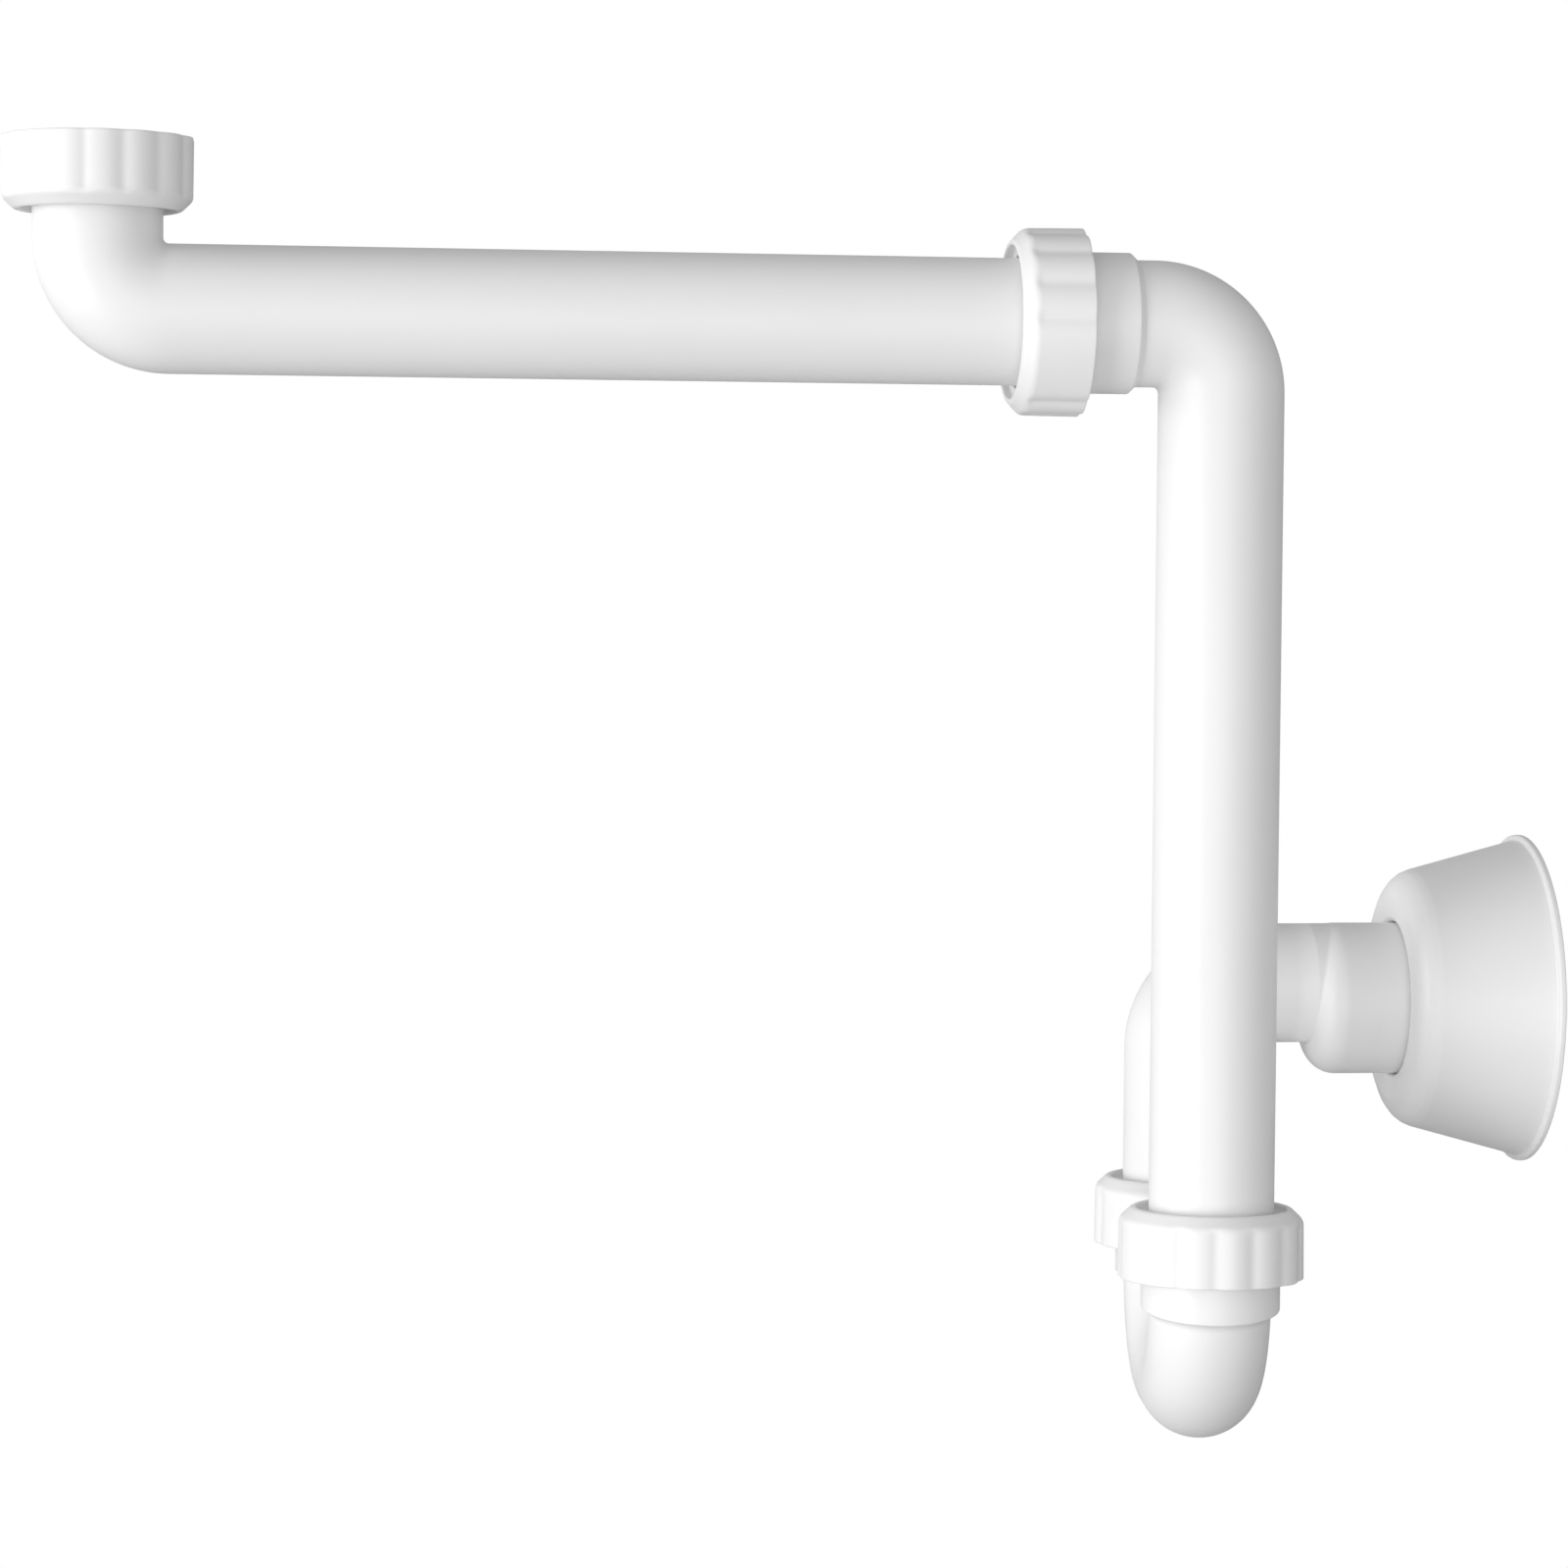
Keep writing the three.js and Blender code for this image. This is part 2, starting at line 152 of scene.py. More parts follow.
# Finger valleys between a nut's lobes, with a half valley beside each group of lobes.
LOBES = 5
LOBE_ANGLE = math.radians(24)
VALLEY_DEPTH = 1.1 * MM
VALLEY_FADE = (16.5 * MM, 20 * MM)
VALLEY_INNER = 25.7 * MM
VALLEY_EDGE = 0.8
VALLEY_EDGE_SOFTENING = 0.22
FLANK_VALLEY_WIDTH = 0.42
FLANK_VALLEY_DEPTH = 0.78

# Mesh fineness.
ROUND = 128
COVER_ROUND = 192
RING_ROUND = 96
COVER_RINGS = 20
ARC_STEP = math.radians(3)
LINE_STEP = 12 * MM
THREAD_STEPS = 10
FILLET_STEPS = 5
FILLET_SHARE = 0.48
SUPPORT = 0.12 * MM
SAME_RING = 1e-7


class Route:
    """A flat path of straights and quarter turns, measured along its length."""

    def __init__(self, start, heading, side):
        self.side = side.normalized()
        self.legs = []
        self.end = start.copy()
        self.heading = heading.normalized()
        self.length = 0.0
        self.marks = []

    def line(self, length):
        """Goes straight on."""
        start, heading, before = self.end.copy(), self.heading.copy(), self.length

        def along(s):
            return start + heading * (s - before), heading

        self.legs.append((before, before + length, along))
        steps = max(1, round(length / LINE_STEP))
        self.marks += [before + length * i / steps for i in range(steps + 1)]
        self.end = start + heading * length
        self.length += length
        return self

    def turn(self, towards, radius):
        """Turns a quarter round towards a direction."""
        start, heading, before = self.end.copy(), self.heading.copy(), self.length
        towards = towards.normalized()
        centre = start + towards * radius
        length = radius * math.pi / 2

        def along(s):
            angle = (s - before) / radius
            forward, sideways = math.sin(angle), math.cos(angle)
            point = centre - towards * (radius * sideways) + heading * (radius * forward)
            return point, heading * sideways + towards * forward

        self.legs.append((before, before + length, along))
        steps = round(math.pi / 2 / ARC_STEP)
        self.marks += [before + length * i / steps for i in range(steps + 1)]
        self.end = centre + heading * radius
        self.heading = towards
        self.length += length
        return self

    def at(self, s):
        """The point and heading at a length along the route."""
        for _, high, along in self.legs:
            if s <= high:
                return along(s)
        return self.legs[-1][2](s)


def straight(origin, direction, side=None):
    """A route for a piece turned about one straight axis, measured from origin."""
    if side is None:
        side = BACK if abs(direction.y) < 0.9 else RIGHT
    return Route(origin, direction, side).line(1.0)


def rounded(corners):
    """A line through (position, radius, fillet) corners, each rounded to its fillet radius."""
    line = []
    for i, (s, r, fillet) in enumerate(corners):
        here = np.array([s, r])
        if fillet <= 0 or i in (0, len(corners) - 1):
            line.append(here)
            continue
        before = np.array(corners[i - 1][:2]) - here
        after = np.array(corners[i + 1][:2]) - here
        far_before, far_after = np.linalg.norm(before), np.linalg.norm(after)
        before, after = before / far_before, after / far_after
        half = math.acos(float(np.clip(before @ after, -1, 1))) / 2
        reach = min(fillet / math.tan(half), FILLET_SHARE * far_before, FILLET_SHARE * far_after)
        radius = reach * math.tan(half)
        middle = before + after
        centre = here + middle / np.linalg.norm(middle) * radius / math.sin(half)
        first, last = here + before * reach, here + after * reach
        start, stop = first - centre, last - centre
        sweep = math.pi - 2 * half
        if reach + SUPPORT < 0.5 * far_before:
            line.append(first + before * SUPPORT)
        for step in range(FILLET_STEPS + 1):
            t = step / FILLET_STEPS
            weight = math.sin(sweep)
            if weight < 1e-6:
                line.append(centre + start)
                continue
            from_start = start * math.sin((1 - t) * sweep)
            line.append(centre + from_start / weight + stop * math.sin(t * sweep) / weight)
        if reach + SUPPORT < 0.5 * far_after:
            line.append(last + after * SUPPORT)
    return line


def divided(line, marks):
    """The line with a point added wherever a mark falls inside one of its stretches."""
    points = [line[0]]
    for before, after in zip(line, line[1:]):
        low, high = sorted((before[0], after[0]))
        inside = [m for m in marks if low + SUPPORT / 2 < m < high - SUPPORT / 2]
        if after[0] < before[0]:
            inside.reverse()
        for mark in inside:
            t = (mark - before[0]) / (after[0] - before[0])
            points.append(before + (after - before) * t)
        points.append(after)
    return points


def thread_marks(start, end):
    """Places close enough together to carry a thread's form."""
    count = round((end - start) / THREAD_PITCH * THREAD_STEPS)
    return [start + (end - start) * i / count for i in range(count + 1)]


def thread(start, end, depth, direction=1):
    """How far a right-hand thread cuts below its crest, at each place and angle.

    It fades out at both ends. The direction is -1 where places count against the route.
    """

    def cut(s, angles):
        phase = (s / THREAD_PITCH - direction * angles / (2 * math.pi)) % 1.0
        tooth = np.clip(THREAD_FLANK_SLOPE * np.abs(2 * phase - 1) - THREAD_CREST_SHARE, 0, 1)
        fade = np.clip(min(s - start, end - s) / THREAD_RUN_OUT, 0, 1)
        return depth * tooth * fade

    return cut


def lofted(name, skins, angles=ROUND):
    """One closed mesh: rings round routes, through skins joined end to end.

    A skin is (route, line, relief). A line is (place, radius) points, and its relief is added to
    the radius. A place is one length along the route, or one for each angle of a ring cut askew.
    """
    theta = np.linspace(0, 2 * math.pi, angles, endpoint=False)
    cosine, sine = np.cos(theta)[:, None], np.sin(theta)[:, None]
    rings = []
    for route, line, relief in skins:
        for s, r in line:
            places = [route.at(place) for place in np.atleast_1d(s)]
            centre = np.array([place[0] for place in places])
            across = np.array([place[1].cross(route.side) for place in places])
            radius = np.full(angles, r)
            if relief is not None:
                radius = radius + relief(s, r, theta)
            spoke = cosine * np.array(route.side) + sine * across
            rings.append(centre + spoke * radius[:, None])
    kept = [rings[0]]
    for ring in rings[1:]:
        if np.abs(ring - kept[-1]).max() > SAME_RING:
            kept.append(ring)
    if np.abs(kept[-1] - kept[0]).max() < SAME_RING:
        kept.pop()
    count = len(kept)
    around = np.arange(angles)
    faces = []
    after = (around + 1) % angles
    for i in range(count):
        here, there = i * angles, (i + 1) % count * angles
        faces.append(np.stack([here + around, here + after, there + after, there + around], 1))
    mesh = bpy.data.meshes.new(name)
    mesh.from_pydata(np.concatenate(kept).tolist(), [], np.concatenate(faces).tolist())
    facing = bmesh.new()
    facing.from_mesh(mesh)
    bmesh.ops.recalc_face_normals(facing, faces=facing.faces)
    facing.to_mesh(mesh)
    facing.free()
    mesh.shade_smooth()
    piece = bpy.data.objects.new(name, mesh)
    bpy.context.scene.collection.objects.link(piece)
    return piece


def finished(piece, node, body, material):
    """Puts a piece on its body in place of its CAD node, with its material."""
    piece.data.materials.append(material)
    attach(piece, body)
    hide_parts(node)
    return piece


# Materials: noise scales per metre, and bump heights.

CLOUD_SCALE = 9
CLOUD_DARKEST = 0.975
DUST_SCALE = 900
DUST_RANGE = (0.66, 0.8)
GLOSS_SCALE = 30
GLOSS_SPREAD = (0.9, 1.15)
SKIN_SCALE = 1600
SKIN_HEIGHT = 0.05 * MM
SKIN_STRENGTH = 0.05
FLOW_SCALE = 26
FLOW_HEIGHT = 0.4 * MM
NOISE_MIDDLE = (0.3, 0.7)
DISTORTION = 0.3
PLASTIC_IOR = 1.49


def map_range(nodes, source, target):
    """A node that maps one range of values onto another."""
    made = nodes.new("ShaderNodeMapRange")
    made.inputs["From Min"].default_value, made.inputs["From Max"].default_value = source
    made.inputs["To Min"].default_value, made.inputs["To Max"].default_value = target
    return made


def moulded_plastic(name, colour, roughness, ripple, speck):
    """Moulded plastic: faintly uneven colour and gloss, soft flow ripples and a fine skin."""
    material = bpy.data.materials.new(name)
    material.use_nodes = True
    nodes, links = material.node_tree.nodes, material.node_tree.links
    shader = nodes["Principled BSDF"]
    where = nodes.new("ShaderNodeTexCoord")

    def noise(scale, detail, distortion=0.0):
        made = nodes.new("ShaderNodeTexNoise")
        made.inputs["Scale"].default_value = scale
        made.inputs["Detail"].default_value = detail
        made.inputs["Distortion"].default_value = distortion
        links.new(where.outputs["Object"], made.inputs["Vector"])
        return made.outputs["Fac"]

    def ramp(source, places, colours):
        made = nodes.new("ShaderNodeValToRGB")
        for stop, place, shade in zip(made.color_ramp.elements, places, colours):
            stop.position = place
            stop.color = (*shade, 1)
        links.new(source, made.inputs["Fac"])
        return made.outputs["Color"]

    shaded = tuple(channel * CLOUD_DARKEST for channel in colour)
    cloud = ramp(noise(CLOUD_SCALE, 3, DISTORTION), NOISE_MIDDLE, [shaded, colour])
    dust = ramp(noise(DUST_SCALE, 2), DUST_RANGE, [(1, 1, 1), (1 - speck,) * 3])
    tint = nodes.new("ShaderNodeMix")
    tint.data_type = "RGBA"
    tint.blend_type = "MULTIPLY"
    tint.inputs["Factor"].default_value = 1.0
    links.new(cloud, tint.inputs["A"])
    links.new(dust, tint.inputs["B"])
    links.new(tint.outputs["Result"], shader.inputs["Base Color"])

    gloss = map_range(nodes, NOISE_MIDDLE, [roughness * share for share in GLOSS_SPREAD])
    links.new(noise(GLOSS_SCALE, 3, DISTORTION), gloss.inputs["Value"])
    links.new(gloss.outputs["Result"], shader.inputs["Roughness"])

    skin = nodes.new("ShaderNodeBump")
    skin.inputs["Strength"].default_value = SKIN_STRENGTH
    skin.inputs["Distance"].default_value = SKIN_HEIGHT
    links.new(noise(SKIN_SCALE, 2), skin.inputs["Height"])
    flow = nodes.new("ShaderNodeBump")
    flow.inputs["Strength"].default_value = ripple
    flow.inputs["Distance"].default_value = FLOW_HEIGHT
    links.new(noise(FLOW_SCALE, 1), flow.inputs["Height"])
    links.new(skin.outputs["Normal"], flow.inputs["Normal"])
    links.new(flow.outputs["Normal"], shader.inputs["Normal"])
    shader.inputs["IOR"].default_value = PLASTIC_IOR
    return material


PIPE_WHITE = moulded_plastic("pipe white", (0.86, 0.862, 0.86), 0.38, 0.05, 0.03)
NUT_WHITE = moulded_plastic("nut white", (0.87, 0.872, 0.868), 0.38, 0.04, 0.03)
COVER_WHITE = moulded_plastic("cover white", (0.87, 0.87, 0.868), 0.36, 0.04, 0.03)
RING_WHITE = moulded_plastic("ring white", (0.78, 0.79, 0.785), 0.48, 0.03, 0.04)
SEAL_GREY = moulded_plastic("seal grey", (0.13, 0.135, 0.14), 0.62, 0.12, 0.2)


# Pipes and sockets.


def socket_outside(depth, neck):
    """The outer line of a threaded end, from its mouth down to the pipe it grows from."""
    return rounded([
        (SOCKET_MOUTH, SEAT_RADIUS - 0.5 * MM, 0),
        (SOCKET_MOUTH, THREAD_CREST, 0.4 * MM),
        (THREAD_START, THREAD_CREST, 0.3 * MM),
        (THREAD_START, COLLAR, 0.2 * MM),
        (depth["collar_end"], COLLAR, 0.5 * MM),
        (depth["neck"], neck, 0.5 * MM),
        (depth["neck"] - 2 * MM, neck, 0),
    ])


def socket_inside(depth, bore):
    """The inner line of a threaded end, from the pipe's bore up to the seat in its mouth."""
    return rounded([
        (depth["bore_end"] - 2 * MM, bore, 0),
        (depth["bore_end"], bore, 0.3 * MM),
        (depth["bore_end"], SOCKET_BORE, 0.3 * MM),
        (SEAT_START, SOCKET_BORE, 1 * MM),
        (SOCKET_MOUTH, SEAT_RADIUS, 0.25 * MM),
        (SOCKET_MOUTH, SEAT_RADIUS + 0.4 * MM, 0),
    ])


def placed(line, at, direction=1):
    """A line measured from a rim, moved to where that rim stands on a route."""
    return [np.array([at + direction * s, r]) for s, r in line]


def threaded_relief(at, direction):
    """The relief of a male thread on a socket whose rim stands at a place on a route."""
    cut = thread(*MALE_THREAD, THREAD_DEPTH, direction)

    def relief(s, r, angles):
        height = direction * (s - at)
        if r < THREAD_FLOOR or not THREAD_START < height < SOCKET_MOUTH:
            return 0 * angles
        return -cut(height, angles)

    return relief


def pipe_end(at, outer, bore, direction=1):
    """A cut pipe end with its small outer chamfer, as a line from the outside to the bore."""
    along, across = PIPE_END_CHAMFER
    return placed(rounded([
        (-PIPE_END_RUN, outer, 0),
        (-along, outer, 0.5 * MM),
        (0, outer - across, 0.2 * MM),
        (0, bore, 0.3 * MM),
        (-PIPE_END_RUN, bore, 0),
    ]), at, direction)


def build_inlet_arm():
    """The flanged inlet leg, its elbow and the long tube, as one pipe."""
    top = INLET_RIM.z - FLANGE_DEPTH
    tube_end = ARM_RIM.x - ARM_PIPE_END
    route = Route(Vector((INLET_RIM.x, INLET_RIM.y, top)), DOWN, BACK)
    route.line(top - ARM_RIM.z - ELBOW).turn(RIGHT, ELBOW).line(tube_end - INLET_RIM.x - ELBOW)
    bore = PIPE - WALL
    flange = rounded([
        (0, bore, 0),
        (0, FLANGE_RADIUS, 0.35 * MM),
        (FLANGE_THICKNESS, FLANGE_RADIUS, 0.35 * MM),
        (FLANGE_THICKNESS, PIPE, 0.8 * MM),
        (6 * MM, PIPE, 0),
    ])
    inside = [np.array([4 * MM, bore]), np.array([0, bore])]
    line = flange + pipe_end(route.length, PIPE, bore) + inside
    return lofted("inlet_arm_detail", [(route, divided(line, route.marks), None)])


def build_downpipe():
    """The threaded socket, the elbow and the long upright pipe."""
    mouth = ARM_RIM + LEFT * SOCKET_MOUTH
    bottom = TRAP_INLET_RIM.z + TRAP_PIPE_END
    route = Route(mouth, RIGHT, BACK)
    route.line(TRAP_INLET_RIM.x - mouth.x - ELBOW)
    route.turn(DOWN, ELBOW)
    route.line(ARM_RIM.z - ELBOW - bottom)
    bore = PIPE - WALL
    outside = placed(socket_outside(ARM_SOCKET, PIPE), SOCKET_MOUTH, -1)
    inside = placed(socket_inside(ARM_SOCKET, bore), SOCKET_MOUTH, -1)
    line = outside + pipe_end(route.length, PIPE, bore) + inside
    marks = sorted(route.marks + thread_marks(0, SOCKET_MOUTH - THREAD_START))
    relief = threaded_relief(SOCKET_MOUTH, -1)
    return lofted("downpipe_detail", [(route, divided(line, marks), relief)])


# How far each point round a leg of the bend lies towards the outside of the bend, from -1 to 1.
BEND_OUTWARD = np.sin(np.linspace(0, 2 * math.pi, ROUND, endpoint=False))


def leaning(line, rim, downward):
    """A collar's rings, cut askew below the rim, to reach further down outside the bend."""
    rings = []
    for s, r in line:
        share = max(downward * (rim - s) / TRAP_SOCKET["collar_end"], 0)
        if share:
            s = s + downward * share * BEND_COLLAR_LEAN * r * BEND_OUTWARD
        rings.append((s, r))
    return rings


def bend_rings(route, radius, depth):
    """Rings of the bend's tube. The end ones are cut flat, at a depth below the arcs' start."""
    cut = BEND_CORNER * np.arcsin(depth / (BEND_CORNER + radius * BEND_OUTWARD))
    square = BEND_CORNER * BEND_CUT_ANGLE
    askew = [cut + (square - cut) * i / BEND_CUT_STEPS for i in range(BEND_CUT_STEPS)]
    between = [mark for mark in route.marks if square <= mark <= route.length - square]
    mirrored = [route.length - s for s in reversed(askew)]
    return [(s, radius) for s in askew + between + mirrored]


def build_trap_bend():
    """The bend's tube between two straight threaded sockets, whose collars lean outwards."""
    across = TRAP_OUTLET_RIM - TRAP_INLET_RIM
    side = across.cross(UP)
    arc_start = BEND_DROP - BEND_CORNER
    tube = Route(TRAP_INLET_RIM + DOWN * arc_start, DOWN, side)
    tube.turn(across, BEND_CORNER).line(across.length - 2 * BEND_CORNER).turn(UP, BEND_CORNER)
    inlet = Route(TRAP_INLET_RIM + UP * SOCKET_MOUTH, DOWN, side)
    inlet.line(SOCKET_MOUTH + SOCKET_REACH)
    outlet = Route(TRAP_OUTLET_RIM + DOWN * SOCKET_REACH, UP, side)
    outlet.line(SOCKET_REACH + SOCKET_MOUTH)
    bore = BEND_PIPE - WALL
    collar_end = TRAP_SOCKET["collar_end"] - BEND_FILLET
    outside = [point for point in socket_outside(TRAP_SOCKET, BEND_PIPE) if point[0] > collar_end]
    socket_floor = socket_inside(TRAP_SOCKET, bore)
    inside = [point for point in socket_floor if point[1] > SOCKET_BORE - BEND_FILLET]
    threads = thread_marks(0, SOCKET_MOUTH - THREAD_START)
    rising = [inlet.length - mark for mark in reversed(threads)]
    neck = BEND_COLLAR_LEAN * BEND_PIPE * BEND_OUTWARD - TRAP_SOCKET["neck"] - arc_start
    outer_tube = bend_rings(tube, BEND_PIPE, neck)
    inner_tube = bend_rings(tube, bore, -TRAP_SOCKET["bore_end"] - arc_start)
    inlet_collar = leaning(divided(placed(outside, SOCKET_MOUTH, -1), threads), SOCKET_MOUTH, 1)
    outlet_collar = leaning(divided(placed(outside, SOCKET_REACH)[::-1], rising), SOCKET_REACH, -1)
    return lofted("trap_bend_detail", [
        (inlet, inlet_collar, threaded_relief(SOCKET_MOUTH, -1)),
        (tube, outer_tube, None),
        (outlet, outlet_collar, threaded_relief(SOCKET_REACH, 1)),
        (outlet, placed(inside[::-1], SOCKET_REACH), None),
        (tube, inner_tube[::-1], None),
        (inlet, placed(inside, SOCKET_MOUTH, -1), None),
    ])


def build_outlet_pipe():
    """The outlet leg and elbow, whose pipe enters the wider spigot's round front off centre."""
    bottom = TRAP_OUTLET_RIM + UP * TRAP_PIPE_END
    axis = TRAP_OUTLET_RIM.z + OUTLET_RISE
    route = Route(bottom, UP, BACK)
    route.line(axis - ELBOW - bottom.z).turn(RIGHT, ELBOW).line(SPIGOT_END - bottom.x - ELBOW)
    spigot_start = route.length - SPIGOT_END + SPIGOT_START
    bore = PIPE - WALL

    def swelling(angles, s, inset):
        """How far the spigot stands out from the pipe it grows from, round the pipe's axis."""
        rounding = SPIGOT_ROUNDING - inset
        ahead = s - spigot_start - inset
        if ahead < 0:
            return 0 * angles
        into = min(ahead, rounding)
        reach = SPIGOT - SPIGOT_ROUNDING + math.sqrt(rounding ** 2 - (rounding - into) ** 2)
        spigot_skin = np.sqrt(reach ** 2 - (axis * np.cos(angles)) ** 2) - axis * np.sin(angles)
        over = spigot_skin - (PIPE - inset)
        blend = SPIGOT_BLEND * (1 - into / rounding)
        return (over + np.sqrt(over ** 2 + blend ** 2)) / 2

    def outside(s, r, angles):
        return swelling(angles, s, 0)

    def inside(s, r, angles):
        return swelling(angles, s, WALL)

    just_before = SUPPORT / 4
    fine = [spigot_start - just_before, spigot_start + WALL - just_before]
    for i in range(SPIGOT_RINGS + 1):
        share = (i / SPIGOT_RINGS) ** SPIGOT_CROWDING
        fine.append(spigot_start + (SPIGOT_ROUNDING + WALL) * share)
    marks = sorted(route.marks + fine)
    start = pipe_end(0, PIPE, bore, -1)[::-1]
    end = pipe_end(route.length, PIPE, bore)
    outer = start + end[:-2]
    inner = [end[-2], end[-1], start[0]]
    skins = [(route, divided(outer, marks), outside), (route, divided(inner, marks), inside)]
    return lofted("outlet_pipe_detail", skins)


# Nuts, rings and seals.


def lobed(first_edge):
    """How far a nut's finger valleys cut in: two groups of lobes with smooth flanks between."""

    def valleys(angles):
        turned = (angles - first_edge) % math.pi
        lobe = (turned / LOBE_ANGLE) % 1.0
        bow = (2 * lobe - 1) ** 2
        edge = np.abs(2 * lobe - 1)
        rim = np.clip((edge - VALLEY_EDGE) / (1 - VALLEY_EDGE), 0, 1)
        soft = bow - VALLEY_EDGE_SOFTENING * rim ** 2
        inside = turned < LOBES * LOBE_ANGLE
        flank = turned - LOBES * LOBE_ANGLE
        flank_end = math.pi - LOBES * LOBE_ANGLE
        near = np.minimum(flank, flank_end - flank) / (FLANK_VALLEY_WIDTH * LOBE_ANGLE)
        shoulder = FLANK_VALLEY_DEPTH * np.clip(1 - near, 0, 1) ** 2
        return np.where(inside, soft, shoulder)

    def relief(s, r, angles):
        if r < VALLEY_INNER:
            return 0 * angles
        low, high = VALLEY_FADE
        t = min(max((s - low) / (high - low), 0), 1)
        return -VALLEY_DEPTH * (1 - t * t * (3 - 2 * t)) * valleys(angles)

    return relief


def build_nut(name, origin, direction, side, first_edge):
    """A union nut: lobed skirt, round shoulder with a lip, web with a hole, and its thread."""
    route = straight(origin, direction, side)
    bore_start, bore_end = NUT_BORE
    outside = rounded([
        (0, NUT_CREST + NUT_CHAMFER, 0),
        (0, NUT_RADIUS, 0.5 * MM),
        (NUT_HEIGHT * 0.5, NUT_RADIUS - NUT_DRAFT / 2, 0),
        (NUT_SHOULDER_START, NUT_RADIUS - NUT_DRAFT, 3.2 * MM),
        (*NUT_SHOULDER_END, 1.6 * MM),
        (NUT_HEIGHT, NUT_LIP, 0.6 * MM),
        (NUT_WEB_TOP, NUT_LIP - 0.1 * MM, 0.5 * MM),
        (NUT_WEB_TOP, NUT_HOLE, 0.4 * MM),
        (NUT_WEB, NUT_HOLE, 0.3 * MM),
        (NUT_WEB, NUT_CREST, 0.3 * MM),
        (bore_end, NUT_CREST, 0),
    ])
    inside = rounded([
        (bore_end, NUT_CREST, 0),
        (bore_start, NUT_CREST, 0.3 * MM),
        (0, NUT_CREST + NUT_CHAMFER, 0.2 * MM),
    ])
    cut = thread(*NUT_THREAD, NUT_THREAD_DEPTH)

    def groove(s, r, angles):
        return cut(s, angles)

    marks = [NUT_HEIGHT * i / NUT_RINGS for i in range(NUT_RINGS + 1)]
    skins = [
        (route, divided(outside, marks), lobed(first_edge)),
        (route, divided(inside, thread_marks(bore_start, bore_end)), groove),
    ]
    return lofted(name, skins, angles=NUT_ROUND)


def build_ring(name, origin, direction, corners):
    """A small turned ring from (height, radius, fillet) corners."""
    line = rounded([corners[-1]] + corners + [corners[0]])[1:-1]
    return lofted(name, [(straight(origin, direction), line, None)], angles=RING_ROUND)


def flat_ring(low, high, inner, outer, fillet):
    """The corners of a ring with a square section."""
    return [(s, r, fillet) for s, r in [(low, inner), (low, outer), (high, outer), (high, inner)]]


# Heights from the nut's open rim, then radii, then fillets.
THRUST_RING = flat_ring(16.9 * MM, 17.9 * MM, 20.1 * MM, 23.6 * MM, 0.2 * MM)
WASHER = flat_ring(13.9 * MM, 15.9 * MM, 18 * MM, 23.6 * MM, 0.3 * MM)
SEAL = [
    (11 * MM, 20 * MM, 0.1 * MM),
    (11 * MM, 20.6 * MM, 0.2 * MM),
    (15.1 * MM, 22.7 * MM, 0.3 * MM),
    (15.4 * MM, 22.9 * MM, 0.1 * MM),
    (16.6 * MM, 22.9 * MM, 0.3 * MM),
    (16.6 * MM, 20 * MM, 0.2 * MM),
]

# The wall cover, in places from its front and radii.
COVER_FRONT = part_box("wall_escutcheon")[0].x
COVER_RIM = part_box("wall_escutcheon")[1].z
COVER_RIM_GAP = 0.02 * MM
COVER_WALL = 1.7 * MM
COVER_HOLE = 25.5 * MM
COVER_LIP = 3.4 * MM
COVER_CORNER = 14 * MM
COVER_SHOULDER = 40.9 * MM
COVER_RIM_ROOT = 52.4 * MM
COVER_RIM_DEPTH = 2.2 * MM


def build_escutcheon():
    """A deep cone with a rolled-in hole, a broad round corner and a beaded rim."""
    deep = -COVER_FRONT
    bead = COVER_RIM - COVER_RIM_GAP
    slope = (COVER_RIM_ROOT - COVER_SHOULDER) / (deep - COVER_RIM_DEPTH)
    outline = rounded([
        (COVER_LIP, COVER_HOLE + COVER_WALL / 2, 0),
        (COVER_LIP, COVER_HOLE, 0.3 * MM),
        (0, COVER_HOLE, 2.4 * MM),
        (0, COVER_SHOULDER, COVER_CORNER),
        (deep - COVER_RIM_DEPTH, COVER_RIM_ROOT, 0.7 * MM),
        (deep - COVER_RIM_DEPTH, bead, 0.9 * MM),
        (deep, bead, 0.5 * MM),
        (deep, COVER_RIM_ROOT - COVER_WALL + COVER_RIM_DEPTH * slope, 0.4 * MM),
        (COVER_WALL, COVER_SHOULDER + COVER_WALL * (slope - 1), COVER_CORNER - COVER_WALL),
        (COVER_WALL, COVER_HOLE + COVER_WALL, 0.7 * MM),
        (COVER_LIP, COVER_HOLE + COVER_WALL, 0.3 * MM),
        (COVER_LIP, COVER_HOLE + COVER_WALL / 2, 0),
    ])
    route = straight(RIGHT * COVER_FRONT, RIGHT)
    marks = [deep * i / COVER_RINGS for i in range(COVER_RINGS + 1)]
    skins = [(route, divided(outline, marks), None)]
    return lofted("wall_escutcheon_detail", skins, angles=COVER_ROUND)


# The pieces, each on its body.

finished(build_inlet_arm(), "inlet_arm", "arm", PIPE_WHITE)
finished(build_downpipe(), "downpipe", "downpipe", PIPE_WHITE)
finished(build_trap_bend(), "trap_bend", "bend", PIPE_WHITE)
finished(build_outlet_pipe(), "outlet_pipe", "outlet", PIPE_WHITE)
finished(build_escutcheon(), "wall_escutcheon", "escutcheon", COVER_WHITE)

